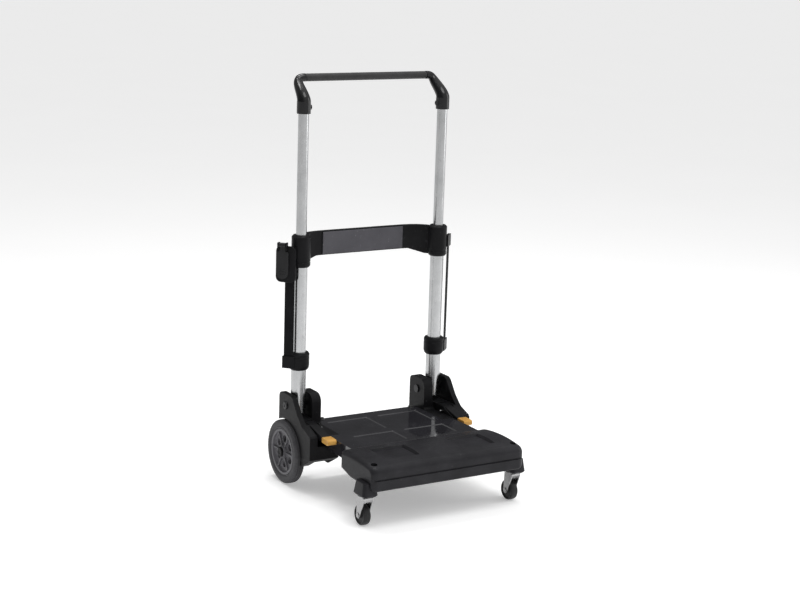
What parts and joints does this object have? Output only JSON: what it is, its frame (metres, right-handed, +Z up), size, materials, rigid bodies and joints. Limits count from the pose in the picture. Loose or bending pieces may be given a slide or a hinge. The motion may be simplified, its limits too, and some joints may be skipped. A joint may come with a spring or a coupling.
{
  "type": "folding platform cart",
  "caption": "Folding platform cart with a low moulded deck, large rear wheels, swivelling front casters and a telescopic push handle on a fold-down mast.",
  "frame": {"origin": "on the floor, midway between the uprights' planes and 150 mm in front of the rear axle", "axes": "+Z up, +X to the cart's right-hand side, +Y towards the rear wheels and the uprights"},
  "size_m": [0.5052, 0.481, 1.01],
  "materials": {
    "black_plastic": "semi-gloss moulded",
    "grey_plastic": "fine grained satin",
    "orange_plastic": "smooth moulded",
    "grip_rubber": "soft-touch satin",
    "tyre_rubber": "matt rubber",
    "hub_plastic": "fine grained satin",
    "webbing": "woven",
    "aluminium": "anodised, drawn along its length",
    "steel": "zinc plated, bright"
  },
  "bodies": {
    "base": {"deck": "black_plastic", "front_beam": "black_plastic", "rear_axle": "steel", "hinge_housing_left": "black_plastic", "hinge_housing_right": "black_plastic", "pivot_pin_left": "steel", "pivot_pin_right": "steel", "axle_cap_left": "black_plastic", "axle_cap_right": "black_plastic", "rest_bumper_left": "grip_rubber", "rest_bumper_right": "grip_rubber", "caster_stem_left": "steel", "caster_stem_right": "steel", "pedal_pin_left": "steel", "pedal_pin_right": "steel"},
    "mast": {"crossbar": "black_plastic", "crossbar_plate": "grey_plastic", "buckle_body": "black_plastic", "buckle_pin": "steel", "lower_tube_left": "aluminium", "lower_tube_right": "aluminium", "pivot_block_left": "black_plastic", "pivot_block_right": "black_plastic", "middle_tube_left": "aluminium", "middle_tube_right": "aluminium", "collar_left": "black_plastic", "collar_right": "black_plastic", "crossbar_clamp_left": "black_plastic", "crossbar_clamp_right": "black_plastic", "strap_left": "webbing", "strap_right": "webbing"},
    "handle": {"grip_bar": "grip_rubber", "upper_tube_left": "aluminium", "upper_tube_right": "aluminium", "lock_block_left": "black_plastic", "lock_block_right": "black_plastic", "grip_corner_left": "grip_rubber", "grip_corner_right": "grip_rubber"},
    "buckle_lever_body": {"buckle_lever": "grey_plastic"},
    "rear_wheel_left": {"rear_tyre_left": "tyre_rubber", "rear_hub_left": "hub_plastic"},
    "caster_swivel_left": {"caster_fork_left": "steel", "caster_axle_left": "steel"},
    "caster_roller_left": {"caster_wheel_left": "tyre_rubber"},
    "fold_pedal_left_body": {"fold_pedal_left": "orange_plastic"},
    "release_button_left_body": {"release_button_left": "grey_plastic"},
    "lock_pin_left_body": {"lock_pin_left": "steel"},
    "rear_wheel_right": {"rear_tyre_right": "tyre_rubber", "rear_hub_right": "hub_plastic"},
    "caster_swivel_right": {"caster_fork_right": "steel", "caster_axle_right": "steel"},
    "caster_roller_right": {"caster_wheel_right": "tyre_rubber"},
    "fold_pedal_right_body": {"fold_pedal_right": "orange_plastic"},
    "release_button_right_body": {"release_button_right": "grey_plastic"},
    "lock_pin_right_body": {"lock_pin_right": "steel"}
  },
  "joints": [
    {"name": "mast_fold", "type": "hinge", "parent": "base", "child": "mast", "pos_m": [0, 0.15, 0.198], "axis": [1, 0, 0], "range_deg": [0, 90]},
    {"name": "handle_slide", "type": "slide", "parent": "mast", "child": "handle", "axis": [0, 0, 1], "range_m": [-0.29, 0]},
    {"name": "buckle_lever_open", "type": "hinge", "parent": "mast", "child": "buckle_lever_body", "pos_m": [-0.24856, 0.14757, 0.603], "axis": [-0.7071, 0.7071, 0], "range_deg": [0, 110]},
    {"name": "rear_wheel_left_spin", "type": "hinge", "parent": "base", "child": "rear_wheel_left", "pos_m": [-0.227, 0.15, 0.08], "axis": [1, 0, 0], "continuous": true},
    {"name": "caster_left_swivel", "type": "hinge", "parent": "base", "child": "caster_swivel_left", "pos_m": [-0.207, -0.213, 0.07], "axis": [0, 0, 1], "continuous": true},
    {"name": "caster_left_spin", "type": "hinge", "parent": "caster_swivel_left", "child": "caster_roller_left", "pos_m": [-0.207, -0.202, 0.025], "axis": [1, 0, 0], "continuous": true},
    {"name": "fold_pedal_left_press", "type": "hinge", "parent": "base", "child": "fold_pedal_left_body", "pos_m": [-0.195, 0.07, 0.156], "axis": [1, 0, 0], "range_deg": [0, 8], "stiffness_Nm_per_rad": 1.5, "springref_deg": -8.59},
    {"name": "release_button_left_press", "type": "slide", "parent": "handle", "child": "release_button_left_body", "axis": [-1, 0, 0], "range_m": [0, 0.0022], "stiffness_N_per_m": 300, "springref_m": -0.003},
    {"name": "lock_pin_left_draw", "type": "slide", "parent": "handle", "child": "lock_pin_left_body", "axis": [-1, 0, 0], "range_m": [0, 0.0025]},
    {"name": "rear_wheel_right_spin", "type": "hinge", "parent": "base", "child": "rear_wheel_right", "pos_m": [0.227, 0.15, 0.08], "axis": [1, 0, 0], "continuous": true},
    {"name": "caster_right_swivel", "type": "hinge", "parent": "base", "child": "caster_swivel_right", "pos_m": [0.207, -0.213, 0.07], "axis": [0, 0, 1], "continuous": true},
    {"name": "caster_right_spin", "type": "hinge", "parent": "caster_swivel_right", "child": "caster_roller_right", "pos_m": [0.207, -0.202, 0.025], "axis": [1, 0, 0], "continuous": true},
    {"name": "fold_pedal_right_press", "type": "hinge", "parent": "base", "child": "fold_pedal_right_body", "pos_m": [0.195, 0.07, 0.156], "axis": [1, 0, 0], "range_deg": [0, 8], "stiffness_Nm_per_rad": 1.5, "springref_deg": -8.59},
    {"name": "release_button_right_press", "type": "slide", "parent": "handle", "child": "release_button_right_body", "axis": [1, 0, 0], "range_m": [0, 0.0022], "stiffness_N_per_m": 300, "springref_m": -0.003},
    {"name": "lock_pin_right_draw", "type": "slide", "parent": "handle", "child": "lock_pin_right_body", "axis": [1, 0, 0], "range_m": [0, 0.0025]}
  ],
  "couplings": [
    {"joint": "lock_pin_left_draw", "follows": "release_button_left_press", "ratio": 1.1},
    {"joint": "lock_pin_right_draw", "follows": "release_button_right_press", "ratio": 1.1}
  ]
}
